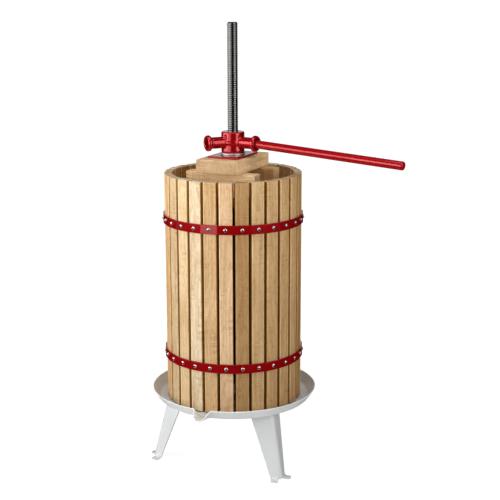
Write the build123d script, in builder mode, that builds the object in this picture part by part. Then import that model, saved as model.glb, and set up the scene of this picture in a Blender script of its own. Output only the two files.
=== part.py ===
from build123d import *
import os
from math import atan2, cos, degrees, hypot, radians, sin, tan

# Fruit press of about 18 litres. A slatted basket stands in a three-legged tray,
# and a three-armed nut drives a stack of pressing blocks down a fixed screw.
# Millimetres, +Z up. The origin is on the screw's axis at floor level, and the
# front, midway between the two front legs, faces -Y. Angles are degrees from the
# front, towards +X.

# Fits
thread_clearance = 0.1  # nuts on the screw, at the radius
bolt_clearance = 0.2  # holes round bolts and screws, at the radius
spindle_clearance = 3.5  # blocks and plates round the screw, at the radius
lever_clearance = 1  # lever in its socket, at the radius
plate_clearance = 6.5  # pressing plates inside the slats

# Basket
slat_count = 27
slat_length = 443
slat_thickness = 15
slat_edge_radius = 3
slat_end_chamfer = 1
basket_radius = 131.5  # axis to the slats' outer faces
drain_gap = 2.3  # between slats, at their inner faces
hoop_height = 17.5
hoop_thickness = 3
lower_hoop_height = 90  # slats' feet to the lower hoop's middle
upper_hoop_drop = 87  # slats' tops to the upper hoop's middle
hoop_screw_head = 7
hoop_screw_crown = 4
hoop_screw_height = 2.4
hoop_screw_sides = 12

# Tray
tray_height = 131  # floor to the tray's underside
tray_sheet = 2
tray_depth = 18  # underside to rim
tray_flare = 12.5  # how far the wall leans out
tray_corner_radius = 6
gutter_width = 15.5  # slats to the foot of the wall
spout_angle = 4
spout_width = 28
spout_reach = 20  # past the rim
spout_tip_width = 11
spout_tip_depth = 4
spout_headroom = 4  # of the channel's cut, over the lip

# Legs
leg_names = ("leg_right", "leg_rear", "leg_left")  # a third of a turn apart
leg_sheet = 2.5
leg_inset = 15.2  # foot of the tray's wall to the leg's corner, at the top
leg_splay = 32.4  # how far the corner leans out on its way down
leg_fold = 100  # angle between a leg's wings
leg_bend_radius = 9
wing_top = 46
wing_foot = 21.5
foot_tab_length = 13
foot_tab_width = 15
foot_tab_corner = 4
foot_bend_radius = 3
foot_hole = 5.5
foot_hole_reach = 7.5  # from the wing
top_tab_width = 22
top_tab_depth = 19
leg_bolt = 6
leg_bolt_head = 11
leg_bolt_head_height = 3.5
leg_bolt_tail = 2
leg_nut_width = 10
leg_nut_height = 5

# Spindle and its foot
spindle = 20
spindle_chamfer = 2
spindle_tail = 4  # under the base nut
free_thread = 204  # over the press nut
base_plate = 100
base_plate_thickness = 6
spindle_nut_width = 30
spindle_nut_height = 16
hex_sides = 6
foot_washer = 44
foot_washer_thickness = 3

# Press head
head_rise = 5  # slats' tops to the cross blocks' tops
press_plate_thickness = 20
press_plate_split = 3
wood_chamfer = 1.2
cross_block_length = 144
cross_block_width = 25
cross_block_height = 36
cross_block_spacing = 88
top_block_length = 140
top_block_width = 86.5
top_block_height = 25
bearing_plate_length = 94
bearing_plate_width = 64
bearing_plate_thickness = 4
bearing_plate_corner = 5
bearing_plate_edge = 1.8
plate_screw = 4
plate_screw_head = 7.5
plate_screw_sink = 90  # angle of the countersink
plate_screw_length = 20
plate_screw_spot = (10.5, 28)
thrust_washer = 46
thrust_washer_thickness = 3
thrust_washer_chamfer = 0.8

# Press nut and lever
boss = 44
boss_height = 40
boss_edge_radius = 1.5
belt = 47
belt_height = 9
arm_count = 3
arm = 22
arm_reach = 55.5  # axis to a socket's mouth
arm_fillet = 3
bead = 31
bead_length = 9
mouth_lip = 26
mouth_flare = 22.5
mouth_flare_depth = 5
socket_wall = 5.5  # between a socket's end and the thread
lever_angle = 81
lever = 16
lever_length = 347
lever_gap = 2  # socket's end to the lever's end
lever_droop = 2.5
lever_end_radius = 3

# Heights that follow
tray_floor = tray_height + tray_sheet
tray_rim = tray_height + tray_depth
slat_top = tray_floor + slat_length
cross_block_top = slat_top + head_rise
press_plate_top = cross_block_top - cross_block_height
top_block_top = cross_block_top + top_block_height
bearing_plate_top = top_block_top + bearing_plate_thickness
boss_foot = bearing_plate_top + thrust_washer_thickness
boss_top = boss_foot + boss_height
arm_height = boss_foot + boss_height / 2
spindle_top = boss_top + free_thread
base_plate_foot = tray_height - base_plate_thickness
base_nut_foot = base_plate_foot - spindle_nut_height
spindle_foot = base_nut_foot - spindle_tail
foot_nut_foot = tray_floor + foot_washer_thickness

# Radii that follow
half_pitch = 180 / slat_count
basket_inside = basket_radius - slat_thickness
slat_width = 2 * basket_inside * tan(radians(half_pitch)) - drain_gap
tray_floor_radius = basket_radius + gutter_width
tray_rim_radius = tray_floor_radius + tray_flare
leg_top_radius = tray_floor_radius - leg_inset
leg_foot_radius = leg_top_radius + leg_splay
spindle_radius = spindle / 2
thread_hole_radius = spindle_radius + thread_clearance
passing_radius = spindle_radius + spindle_clearance
socket_radius = lever / 2 + lever_clearance
socket_end = thread_hole_radius + socket_wall
leg_angles = {name: (turn + 0.5) * 360 / len(leg_names) for turn, name in enumerate(leg_names)}
wing_back = cos(radians(leg_fold / 2))  # how far a wing runs inward, and aside, for its length
wing_aside = sin(radians(leg_fold / 2))

os.makedirs("parts", exist_ok=True)


def save(builder, name):
    builder.part.label = name
    export_step(builder.part, f"parts/{name}.step")


def outward(angle):
    return Vector(sin(radians(angle)), -cos(radians(angle)), 0)


def level_plane(angle, height, distance=0):
    # Flat plane at a height, with its X pointing outward at the angle
    origin = outward(angle) * distance + Vector(0, 0, height)
    return Plane(origin=origin, x_dir=outward(angle), z_dir=(0, 0, 1))


def facing_plane(angle, height, distance):
    # Upright plane that faces outward at the angle, with its Y up
    origin = outward(angle) * distance + Vector(0, 0, height)
    return Plane(origin=origin, x_dir=outward(angle + 90), z_dir=outward(angle))


def slat_angle(number):
    # A gap, not a slat, faces the front
    return (2 * number - 1) * half_pitch


# Tray: a dish with a flared wall, and a lip drawn out of the wall to pour from
def trough_outline(width, depth, headroom=0):
    with BuildLine() as outline:
        round_bottom = ThreePointArc((-width / 2, 0), (0, -depth), (width / 2, 0))
        if headroom:
            Polyline(round_bottom @ 1, (width / 2, headroom), (-width / 2, headroom), round_bottom @ 0)
        else:
            Line(round_bottom @ 1, round_bottom @ 0)
    make_face(outline.edges())


mouth_plane = facing_plane(spout_angle, tray_rim, tray_rim_radius)
tip_plane = facing_plane(spout_angle, tray_floor + spout_tip_depth, tray_rim_radius + spout_reach)
trough_inset = tray_flare + tray_corner_radius
wall_length = hypot(tray_flare, tray_depth)
bowl_floor_radius = tray_floor_radius - tray_sheet * (wall_length - tray_flare) / tray_depth
bowl_rim_radius = tray_rim_radius - tray_sheet * wall_length / tray_depth
bowl_depth = tray_depth - tray_sheet
leg_bolt_along = wing_top - top_tab_width / 2
leg_bolt_inside = (top_tab_depth + leg_sheet) / 2
leg_bolt_depth = leg_bolt_along * wing_back + leg_bolt_inside * wing_aside
leg_bolt_side = leg_bolt_along * wing_aside - leg_bolt_inside * wing_back
leg_bolt_spots = [
    (leg_top_radius - leg_bolt_depth, leg_bolt_side),
    (leg_top_radius - leg_bolt_depth, -leg_bolt_side),
]

with BuildPart() as tray:
    # The lip's outside, run back under the wall
    with BuildSketch(mouth_plane):
        trough_outline(spout_width + 2 * tray_sheet, tray_depth)
    extrude(amount=-trough_inset)
    with BuildSketch(mouth_plane):
        trough_outline(spout_width + 2 * tray_sheet, tray_depth)
    with BuildSketch(tip_plane):
        trough_outline(spout_tip_width + 2 * tray_sheet, spout_tip_depth + tray_sheet)
    loft()
    # Nothing of it stays inside the bowl
    with Locations((0, 0, tray_floor)):
        Cone(
            bowl_floor_radius,
            bowl_rim_radius,
            bowl_depth,
            align=(Align.CENTER, Align.CENTER, Align.MIN),
            mode=Mode.SUBTRACT,
        )
    # The dish
    with BuildSketch(Plane.XZ) as dish:
        with BuildLine():
            Polyline(
                (spindle_radius + bolt_clearance, tray_height),
                (tray_floor_radius, tray_height),
                (tray_rim_radius, tray_rim),
                (bowl_rim_radius, tray_rim),
                (bowl_floor_radius, tray_floor),
                (spindle_radius + bolt_clearance, tray_floor),
                close=True,
            )
        make_face()
        bend_corner = (tray_floor_radius, tray_height, 0)
        outer_bend, inner_bend = dish.vertices().sort_by_distance(bend_corner)[:2]
        fillet(inner_bend, tray_corner_radius - tray_sheet)
        fillet(outer_bend, tray_corner_radius)
    revolve(axis=Axis.Z)
    # The lip's channel, through the wall and out at the tip
    with BuildSketch(mouth_plane):
        trough_outline(spout_width, bowl_depth, headroom=spout_headroom)
    extrude(amount=-trough_inset, mode=Mode.SUBTRACT)
    with BuildSketch(mouth_plane):
        trough_outline(spout_width, bowl_depth, headroom=spout_headroom)
    with BuildSketch(tip_plane):
        trough_outline(spout_tip_width, spout_tip_depth, headroom=spout_headroom)
    loft(mode=Mode.SUBTRACT)
    for angle in leg_angles.values():
        with Locations(level_plane(angle, tray_floor)):
            with Locations(*leg_bolt_spots):
                Hole(leg_bolt / 2 + bolt_clearance, depth=tray_sheet)
save(tray, "tray")


# Legs: folded sheet, two wings that taper to the foot, tabs turned out below and in above
def angle_section(corner, wing):
    outer_end = Vector(corner - wing * wing_back, wing * wing_aside)
    inner_end = outer_end - Vector(leg_sheet * wing_aside, leg_sheet * wing_back)
    with BuildLine() as outline:
        Polyline((corner - leg_sheet / wing_aside, 0), inner_end, outer_end, (corner, 0))
        mirror(about=Plane.XZ)
    section = make_face(outline.edges())
    inner_corner, outer_corner = section.vertices().sort_by(Axis.X)[-2:]
    fillet(inner_corner, leg_bend_radius - leg_sheet)
    fillet(outer_corner, leg_bend_radius)


def wing_plane(angle, height, corner):
    # X runs along one wing from the leg's corner, Y points away from the wing's outer face
    origin = outward(angle) * corner + Vector(0, 0, height)
    return Plane(origin=origin, x_dir=outward(angle + leg_fold / 2 - 180), z_dir=(0, 0, 1))


for leg_name, angle in leg_angles.items():
    with BuildPart() as leg:
        with BuildSketch(level_plane(angle, 0)):
            angle_section(leg_foot_radius, wing_foot)
        with BuildSketch(level_plane(angle, tray_height)):
            angle_section(leg_top_radius, wing_top)
        loft(ruled=True)
        with BuildSketch(wing_plane(angle, 0, leg_foot_radius)) as foot_tab:
            with Locations((wing_foot - foot_tab_width / 2, -leg_sheet / 2)):
                Rectangle(foot_tab_width, foot_tab_length + leg_sheet / 2, align=(Align.CENTER, Align.MIN))
            fillet(foot_tab.vertices().sort_by(Axis.Y)[-2:], foot_tab_corner)
            with Locations((wing_foot - foot_tab_width / 2, foot_hole_reach)):
                Circle(foot_hole / 2, mode=Mode.SUBTRACT)
        extrude(amount=leg_sheet)
        fold_plane = wing_plane(angle, leg_sheet, leg_foot_radius)
        fold_spot = fold_plane.from_local_coords((wing_foot - foot_tab_width / 2, 0, 0))
        fillet(leg.edges().sort_by_distance(fold_spot)[0], foot_bend_radius)
        with BuildSketch(wing_plane(angle, tray_height, leg_top_radius)):
            with Locations((wing_top - top_tab_width / 2, -leg_sheet / 2)):
                Rectangle(top_tab_width, top_tab_depth - leg_sheet / 2, align=(Align.CENTER, Align.MAX))
            with Locations((leg_bolt_along, -leg_bolt_inside)):
                Circle(leg_bolt / 2 + bolt_clearance, mode=Mode.SUBTRACT)
        extrude(amount=-leg_sheet)
        mirror(about=Plane(origin=(0, 0, 0), x_dir=outward(angle), z_dir=outward(angle + 90)))
    save(leg, leg_name)

leg_nut_foot = tray_height - leg_sheet - leg_nut_height
with BuildPart() as leg_bolts:
    for angle in leg_angles.values():
        with Locations(level_plane(angle, tray_floor)):
            with Locations(*leg_bolt_spots):
                Cylinder(
                    leg_bolt_head / 2,
                    leg_bolt_head_height,
                    align=(Align.CENTER, Align.CENTER, Align.MIN),
                )
        with Locations(level_plane(angle, leg_nut_foot - leg_bolt_tail)):
            with Locations(*leg_bolt_spots):
                Cylinder(
                    leg_bolt / 2,
                    tray_floor - leg_nut_foot + leg_bolt_tail,
                    align=(Align.CENTER, Align.CENTER, Align.MIN),
                )
    head_tops = leg_bolts.faces().group_by(Axis.Z)[-1]
    chamfer(head_tops.edges(), leg_bolt_head_height / 2)
save(leg_bolts, "leg_bolts")

with BuildPart() as leg_nuts:
    for angle in leg_angles.values():
        with BuildSketch(level_plane(angle, leg_nut_foot)):
            with Locations(*leg_bolt_spots):
                RegularPolygon(leg_nut_width / 2, hex_sides, major_radius=False)
                Circle(leg_bolt / 2 + thread_clearance, mode=Mode.SUBTRACT)
        extrude(amount=leg_nut_height)
save(leg_nuts, "leg_nuts")

# Spindle: a fixed screw, clamped to the tray's floor between two nuts
with BuildPart() as spindle_screw:
    with BuildSketch(Plane.XY.offset(spindle_foot)):
        Circle(spindle_radius)
    extrude(amount=spindle_top - spindle_foot)
    chamfer(spindle_screw.edges().sort_by(Axis.Z)[-1], spindle_chamfer)
save(spindle_screw, "spindle")

with BuildPart() as base_disc:
    with BuildSketch(Plane.XY.offset(base_plate_foot)):
        Circle(base_plate / 2)
        Circle(spindle_radius + bolt_clearance, mode=Mode.SUBTRACT)
    extrude(amount=base_plate_thickness)
save(base_disc, "base_plate")

for nut_name, nut_foot in {"base_nut": base_nut_foot, "foot_nut": foot_nut_foot}.items():
    with BuildPart() as spindle_nut:
        with BuildSketch(Plane.XY.offset(nut_foot)):
            RegularPolygon(spindle_nut_width / 2, hex_sides, major_radius=False)
            Circle(thread_hole_radius, mode=Mode.SUBTRACT)
        extrude(amount=spindle_nut_height)
    save(spindle_nut, nut_name)

with BuildPart() as spindle_washer:
    with BuildSketch(Plane.XY.offset(tray_floor)):
        Circle(foot_washer / 2)
        Circle(spindle_radius + bolt_clearance, mode=Mode.SUBTRACT)
    extrude(amount=foot_washer_thickness)
save(spindle_washer, "foot_washer")

# Basket: straight slats inside two hoops that are bent flat at every slat
for number in range(1, slat_count + 1):
    with BuildPart() as slat:
        with BuildSketch(level_plane(slat_angle(number), tray_floor, basket_radius)) as slat_section:
            Rectangle(slat_thickness, slat_width, align=(Align.MAX, Align.CENTER))
            fillet(slat_section.vertices().sort_by(Axis.X)[-2:], slat_edge_radius)
        extrude(amount=slat_length)
        chamfer(slat.edges().group_by(Axis.Z)[-1], slat_end_chamfer)
    save(slat, f"slat_{number:02d}")

hoop_screw_taper = degrees(atan2(hoop_screw_head - hoop_screw_crown, 2 * hoop_screw_height))
hoop_middles = {
    "lower_hoop": tray_floor + lower_hoop_height,
    "upper_hoop": slat_top - upper_hoop_drop,
}
for hoop_name, hoop_middle in hoop_middles.items():
    with BuildPart() as hoop:
        with BuildSketch(level_plane(0, hoop_middle)):
            RegularPolygon(basket_radius + hoop_thickness, slat_count, major_radius=False)
            RegularPolygon(basket_radius, slat_count, major_radius=False, mode=Mode.SUBTRACT)
        extrude(amount=hoop_height / 2, both=True)
    save(hoop, hoop_name)

    with BuildPart() as hoop_screws:
        for number in range(1, slat_count + 1):
            with BuildSketch(facing_plane(slat_angle(number), hoop_middle, basket_radius + hoop_thickness)):
                RegularPolygon(hoop_screw_head / 2, hoop_screw_sides)
            extrude(amount=hoop_screw_height, taper=hoop_screw_taper)
    save(hoop_screws, f"{hoop_name}_screws")

# Press head: two half plates, two cross blocks, a top block and its steel plate
press_plate_radius = basket_inside - plate_clearance
for side_name, side in {"left": -1, "right": 1}.items():
    with BuildPart() as press_plate:
        with BuildSketch(Plane.XY.offset(press_plate_top - press_plate_thickness)):
            Circle(press_plate_radius)
            Circle(passing_radius, mode=Mode.SUBTRACT)
            with Locations((side * (press_plate_split + press_plate_radius) / 2, 0)):
                Rectangle(press_plate_radius, 2 * press_plate_radius, mode=Mode.INTERSECT)
        extrude(amount=press_plate_thickness)
        round_face = press_plate.faces().filter_by(GeomType.CYLINDER).sort_by(SortBy.AREA)[-1]
        chamfer(round_face.edges().filter_by(GeomType.CIRCLE), wood_chamfer)
    save(press_plate, f"press_plate_{side_name}")

for row_name, row in {"front": -1, "rear": 1}.items():
    with BuildPart() as cross_block:
        with BuildSketch(Plane.XY.offset(press_plate_top)):
            with Locations((0, row * cross_block_spacing / 2)):
                Rectangle(cross_block_length, cross_block_width)
        extrude(amount=cross_block_height)
        chamfer(cross_block.edges(), wood_chamfer)
    save(cross_block, f"cross_block_{row_name}")

screw_x, screw_y = plate_screw_spot
plate_screw_spots = [(-screw_x, -screw_y), (screw_x, screw_y)]
plate_screw_foot = bearing_plate_top - plate_screw_length
plate_screw_head_height = (plate_screw_head - plate_screw) / 2 / tan(radians(plate_screw_sink / 2))

with BuildPart() as top_block:
    with BuildSketch(Plane.XY.offset(cross_block_top)):
        Rectangle(top_block_width, top_block_length)
    extrude(amount=top_block_height)
    chamfer(top_block.edges(), wood_chamfer)
    with BuildSketch(Plane.XY.offset(cross_block_top)):
        Circle(passing_radius)
    extrude(amount=top_block_height, mode=Mode.SUBTRACT)
    with BuildSketch(Plane.XY.offset(plate_screw_foot)):
        with Locations(*plate_screw_spots):
            Circle(plate_screw / 2 + bolt_clearance)
    extrude(amount=plate_screw_length, mode=Mode.SUBTRACT)
save(top_block, "top_block")

with BuildPart() as bearing:
    with BuildSketch(Plane.XY.offset(top_block_top)):
        RectangleRounded(bearing_plate_width, bearing_plate_length, bearing_plate_corner)
    extrude(amount=bearing_plate_thickness)
    fillet(bearing.edges().group_by(Axis.Z)[-1], bearing_plate_edge)
    with Locations((0, 0, bearing_plate_top)):
        Hole(passing_radius, depth=bearing_plate_thickness)
        with Locations(*plate_screw_spots):
            CounterSinkHole(
                plate_screw / 2 + bolt_clearance,
                plate_screw_head / 2 + bolt_clearance,
                depth=bearing_plate_thickness,
                counter_sink_angle=plate_screw_sink,
            )
save(bearing, "bearing_plate")

with BuildPart() as plate_screws:
    with Locations(*[(x, y, bearing_plate_top) for x, y in plate_screw_spots]):
        Cone(
            plate_screw / 2,
            plate_screw_head / 2,
            plate_screw_head_height,
            align=(Align.CENTER, Align.CENTER, Align.MAX),
        )
        Cylinder(
            plate_screw / 2,
            plate_screw_length,
            align=(Align.CENTER, Align.CENTER, Align.MAX),
        )
save(plate_screws, "plate_screws")

with BuildPart() as washer:
    with BuildSketch(Plane.XY.offset(bearing_plate_top)):
        Circle(thrust_washer / 2)
        Circle(spindle_radius + bolt_clearance, mode=Mode.SUBTRACT)
    extrude(amount=thrust_washer_thickness)
    chamfer(washer.edges().group_by(Axis.Z)[-1].sort_by(SortBy.LENGTH)[-1], thrust_washer_chamfer)
save(washer, "thrust_washer")

# Press nut: a belted cast boss with hollow arms, each ending in a beaded, flared mouth
arm_angles = [lever_angle + turn * 360 / arm_count for turn in range(arm_count)]
bead_start = arm_reach - bead_length
bead_crest = arm_reach - bead_length / 2
belt_foot = arm_height - belt_height / 2
belt_top = arm_height + belt_height / 2

with BuildPart() as press_nut:
    with BuildSketch(Plane.XY.offset(boss_foot)):
        Circle(boss / 2)
    extrude(amount=boss_height)
    fillet(press_nut.edges().filter_by(GeomType.CIRCLE), boss_edge_radius)
    for angle in arm_angles:
        # Sketched along the arm: X outward, Y up
        arm_plane = Plane(origin=(0, 0, arm_height), x_dir=outward(angle), z_dir=outward(angle - 90))
        with BuildSketch(arm_plane):
            with BuildLine():
                Polyline((0, 0), (0, arm / 2), (bead_start, arm / 2))
                TangentArc((bead_start, arm / 2), (bead_crest, bead / 2), tangent=(1, 0))
                TangentArc((bead_crest, bead / 2), (arm_reach, mouth_lip / 2), tangent=(1, 0))
                Polyline((arm_reach, mouth_lip / 2), (arm_reach, 0), (0, 0))
            make_face()
        revolve(axis=Axis((0, 0, arm_height), outward(angle)))
    saddles = [edge for edge in press_nut.edges() if edge.geom_type not in (GeomType.CIRCLE, GeomType.LINE)]
    fillet(saddles, arm_fillet)
    with BuildSketch(Plane.XZ):
        with BuildLine():
            bulge = ThreePointArc((boss / 2, belt_foot), (belt / 2, arm_height), (boss / 2, belt_top))
            Polyline(bulge @ 1, (0, belt_top), (0, belt_foot), bulge @ 0)
        make_face()
    revolve(axis=Axis.Z)
    with BuildSketch(Plane.XY.offset(boss_foot)):
        Circle(thread_hole_radius)
    extrude(amount=boss_height, mode=Mode.SUBTRACT)
    for angle in arm_angles:
        with BuildSketch(facing_plane(angle, arm_height, arm_reach)):
            Circle(socket_radius)
        extrude(amount=socket_end - arm_reach, mode=Mode.SUBTRACT)
        with Locations(facing_plane(angle, arm_height, arm_reach)):
            Cone(
                socket_radius,
                mouth_flare / 2,
                mouth_flare_depth,
                align=(Align.CENTER, Align.CENTER, Align.MAX),
                mode=Mode.SUBTRACT,
            )
save(press_nut, "press_nut")

# Lever: a plain bar, loose enough in its socket to droop a little under its weight
lever_start = socket_end + lever_gap
lever_rest = (lever_start + arm_reach - mouth_flare_depth) / 2
lever_axis = outward(lever_angle) * cos(radians(lever_droop)) - Vector(0, 0, sin(radians(lever_droop)))
lever_pivot = outward(lever_angle) * lever_rest + Vector(0, 0, arm_height)

with BuildPart() as lever_bar:
    with BuildSketch(Plane(origin=lever_pivot - lever_axis * (lever_rest - lever_start), z_dir=lever_axis)):
        Circle(lever / 2)
    extrude(amount=lever_length)
    fillet(lever_bar.edges().filter_by(GeomType.CIRCLE), lever_end_radius)
save(lever_bar, "lever")
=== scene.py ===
import random
from math import cos, pi, radians, sin, sqrt, tan

import bmesh
import bpy
from mathutils import Matrix, Quaternion, Vector


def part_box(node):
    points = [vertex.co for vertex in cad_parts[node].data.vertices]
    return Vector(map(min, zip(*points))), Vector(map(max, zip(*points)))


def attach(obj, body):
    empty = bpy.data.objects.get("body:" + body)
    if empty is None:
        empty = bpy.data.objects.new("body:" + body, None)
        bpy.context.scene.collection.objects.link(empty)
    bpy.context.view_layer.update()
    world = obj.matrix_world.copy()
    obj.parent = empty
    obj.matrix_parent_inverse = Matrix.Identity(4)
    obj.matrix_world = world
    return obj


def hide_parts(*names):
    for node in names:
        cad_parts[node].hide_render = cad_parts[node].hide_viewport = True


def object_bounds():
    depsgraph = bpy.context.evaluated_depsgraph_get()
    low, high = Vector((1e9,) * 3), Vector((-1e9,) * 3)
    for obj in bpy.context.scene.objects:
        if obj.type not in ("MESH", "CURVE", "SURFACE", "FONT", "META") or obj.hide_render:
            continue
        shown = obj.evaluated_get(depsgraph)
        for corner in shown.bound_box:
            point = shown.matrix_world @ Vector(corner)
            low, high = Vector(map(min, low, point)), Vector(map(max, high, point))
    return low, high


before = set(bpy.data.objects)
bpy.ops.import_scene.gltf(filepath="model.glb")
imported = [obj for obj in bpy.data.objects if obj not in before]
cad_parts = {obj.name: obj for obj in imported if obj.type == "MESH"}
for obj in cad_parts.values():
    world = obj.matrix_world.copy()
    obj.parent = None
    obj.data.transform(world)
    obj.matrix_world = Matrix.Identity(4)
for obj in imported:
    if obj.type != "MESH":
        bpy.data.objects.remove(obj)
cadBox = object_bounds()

# Fruit press, dressed around its CAD frame. Metres, Z up, the screw's axis on Z, the front at -Y.
# Angles are degrees from the front, towards +X.

scene = bpy.context.scene
upright = Matrix.Identity(4)
zAxis = Vector((0, 0, 1))
past = 0.001  # how far a cutter runs past the face it cuts


# Places
def outward(angle):
    return Vector((sin(radians(angle)), -cos(radians(angle)), 0))


def framed(x, y, z, origin):
    return Matrix.Translation(origin) @ Matrix((x, y, z)).transposed().to_4x4()


def standFrame(angle, distance=0, height=0):  # X outward, Z up
    out = outward(angle)
    return framed(out, zAxis.cross(out), zAxis, out * distance + zAxis * height)


def faceFrame(angle, distance, height):  # Z outward, Y up
    out = outward(angle)
    return framed(zAxis.cross(out), zAxis, out, out * distance + zAxis * height)


def aimFrame(origin, direction):  # Z along the direction
    return Matrix.Translation(origin) @ direction.to_track_quat("Z", "Y").to_matrix().to_4x4()


# Outlines: lists of flat points, anticlockwise
def fractions(steps):  # from 0 to 1
    return [step / steps for step in range(steps + 1)]


def quarterTurns(steps):  # from 0 to a right angle
    return [pi / 2 * step / steps for step in range(steps + 1)]


def rounded(corners, steps=4, closed=True):  # corners are (x, y, radius)
    points = []
    last = len(corners) - 1
    for i, (x, y, radius) in enumerate(corners):
        here = Vector((x, y))
        if not radius or (not closed and i in (0, last)):
            points.append(here)
            continue
        back = (Vector(corners[i - 1][:2]) - here).normalized()
        ahead = (Vector(corners[(i + 1) % len(corners)][:2]) - here).normalized()
        half = back.angle(ahead) / 2
        centre = here + (back + ahead).normalized() * radius / sin(half)
        start = here + back * radius / tan(half) - centre
        end = here + ahead * radius / tan(half) - centre
        sweep = start.angle_signed(end)
        for step in range(steps + 1):
            points.append(centre + Matrix.Rotation(-sweep * step / steps, 2) @ start)
    return points


def roundedBox(xLow, xHigh, yLow, yHigh, radius, steps=4):
    spots = ((xLow, yLow), (xHigh, yLow), (xHigh, yHigh), (xLow, yHigh))
    return rounded([(x, y, radius) for x, y in spots], steps)


def roundedBar(radius, low, high, edge, core, steps):  # profile of a bar with rounded ends
    corners = [(core, low, 0), (radius, low, edge), (radius, high, edge), (core, high, 0)]
    return rounded(corners, steps, closed=False)


def inset(outline, depth, tightest=0.2):  # tightest limits how far a sharp corner moves
    moved = []
    for i, here in enumerate(outline):
        arriving = (here - outline[i - 1]).normalized()
        leaving = (outline[(i + 1) % len(outline)] - here).normalized()
        inward = (arriving + leaving).orthogonal().normalized()
        moved.append(here + inward * depth / max(inward.dot(arriving.orthogonal()), tightest))
    return moved


def circle(radius, steps):
    turns = [2 * pi * i / steps for i in range(steps)]
    return [Vector((radius * cos(turn), radius * sin(turn))) for turn in turns]


def halfRound(radius, gap, steps):  # an arc about +X that stops short of the Y axis by the gap
    lastTurn = pi / 2 - gap / radius
    turns = [lastTurn * (2 * share - 1) for share in fractions(steps)]
    return [Vector((radius * cos(turn), radius * sin(turn))) for turn in turns]


def lifted(outline, height):
    return [Vector((p.x, p.y, height)) for p in outline]


def softLevels(low, high, edge, steps=3):  # (height, inset) pairs that round both ends of a prism
    turns = quarterTurns(steps)
    foot = [(low + edge * (1 - cos(turn)), edge * (1 - sin(turn))) for turn in turns]
    head = [(high - edge * (1 - cos(turn)), edge * (1 - sin(turn))) for turn in reversed(turns)]
    return foot + head


# Meshes
def skin(bm, rings, wrap=False):  # quads between rings, with the ends capped unless they meet
    loops = [[bm.verts.new(point) for point in ring] for ring in rings]
    pairs = list(zip(loops, loops[1:]))
    if wrap:
        pairs.append((loops[-1], loops[0]))
    for low, high in pairs:
        for i in range(len(low)):
            bm.faces.new((low[i - 1], low[i], high[i], high[i - 1]))
    if not wrap:
        bm.faces.new(loops[0][::-1])
        bm.faces.new(loops[-1])


def sheetGrid(bm, rows):  # an open sheet of quads
    for low, high in zip(rows, rows[1:]):
        for i in range(1, len(low)):
            bm.faces.new((low[i - 1], low[i], high[i], high[i - 1]))


def lathe(bm, profile, steps, place=upright, hollow=False):  # profile points are (radius, height)
    rings = [lifted(circle(radius, steps), height) for radius, height in profile]
    skin(bm, [[place @ point for point in ring] for ring in rings], hollow)


def smoothed(mesh, crease=38):
    mesh.polygons.foreach_set("use_smooth", [True] * len(mesh.polygons))
    mesh.set_sharp_from_angle(angle=radians(crease))
    return mesh


def toMesh(bm, name, crease=38):
    bmesh.ops.recalc_face_normals(bm, faces=bm.faces)
    mesh = bpy.data.meshes.new(name)
    bm.to_mesh(mesh)
    bm.free()
    return smoothed(mesh, crease)


def extruded(name, outline, levels, place=upright):  # levels are (height, inset) pairs
    bm = bmesh.new()
    rings = [lifted(inset(outline, depth), height) for height, depth in levels]
    skin(bm, [[place @ point for point in ring] for ring in rings])
    return toMesh(bm, name)


def turned(name, profile, steps, places=(upright,), crease=38, hollow=False):  # one form in each place
    bm = bmesh.new()
    for place in places:
        lathe(bm, profile, steps, place, hollow)
    return toMesh(bm, name, crease)


def shaped(mesh, *steps):  # runs modifiers over a mesh; each step is (kind, settings)
    worker = bpy.data.objects.new("worker", mesh)
    scene.collection.objects.link(worker)
    for kind, settings in steps:
        modifier = worker.modifiers.new(kind, kind)
        for key, value in settings.items():
            setattr(modifier, key, value)
    result = bpy.data.meshes.new_from_object(worker.evaluated_get(bpy.context.evaluated_depsgraph_get()))
    bpy.data.objects.remove(worker)
    return result


def thickened(sheet):  # a step that gives an open sheet its thickness, inward
    return "SOLIDIFY", {"thickness": sheet, "offset": -1, "use_even_offset": True}


def broken(width, segments, angle):  # a step that rounds the edges sharper than the angle
    settings = {"width": width, "segments": segments, "limit_method": "ANGLE", "angle_limit": radians(angle)}
    return "BEVEL", settings


def combined(mesh, tool, operation):  # one mesh cut or trimmed by another
    cutter = bpy.data.objects.new("cutter", tool)
    scene.collection.objects.link(cutter)
    result = shaped(mesh, ("BOOLEAN", {"operation": operation, "solver": "EXACT", "object": cutter}))
    bpy.data.objects.remove(cutter)
    return smoothed(result)


def boredThrough(mesh, radius, lip, low, high, steps=48):  # a hole on the axis, with broken edges
    wide = radius + lip
    profile = [(wide, low - past), (wide, low), (radius, low + lip)]
    profile += [(radius, high - lip), (wide, high), (wide, high + past)]
    return combined(mesh, turned("bore", profile, steps), "DIFFERENCE")


def addPiece(name, mesh, body, nodes, material, place=upright):
    mesh.transform(place.inverted())
    piece = bpy.data.objects.new(name, mesh)
    piece.matrix_world = place
    scene.collection.objects.link(piece)
    mesh.materials.clear()
    mesh.materials.append(material)
    piece.modifiers.new("flatFaces", "WEIGHTED_NORMAL").keep_sharp = True
    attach(piece, body)
    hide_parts(*nodes)
    return piece


# Materials
noiseSpread = (0.3, 0.7)  # where nearly all of a noise lies
patchSpan = (0.4, 0.7)  # the part of a noise that shows as patches


def newMaterial(name):
    material = bpy.data.materials.new(name)
    material.use_nodes = True
    return material, material.node_tree, material.node_tree.nodes["Principled BSDF"]


def feed(tree, node, inputs):  # links sockets and sets plain values
    for key, value in inputs.items():
        if isinstance(value, bpy.types.NodeSocket):
            tree.links.new(value, node.inputs[key])
        else:
            node.inputs[key].default_value = value


def addNode(tree, kind, inputs, **settings):
    node = tree.nodes.new("ShaderNode" + kind)
    for key, value in settings.items():
        setattr(node, key, value)
    feed(tree, node, inputs)
    return node


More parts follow.
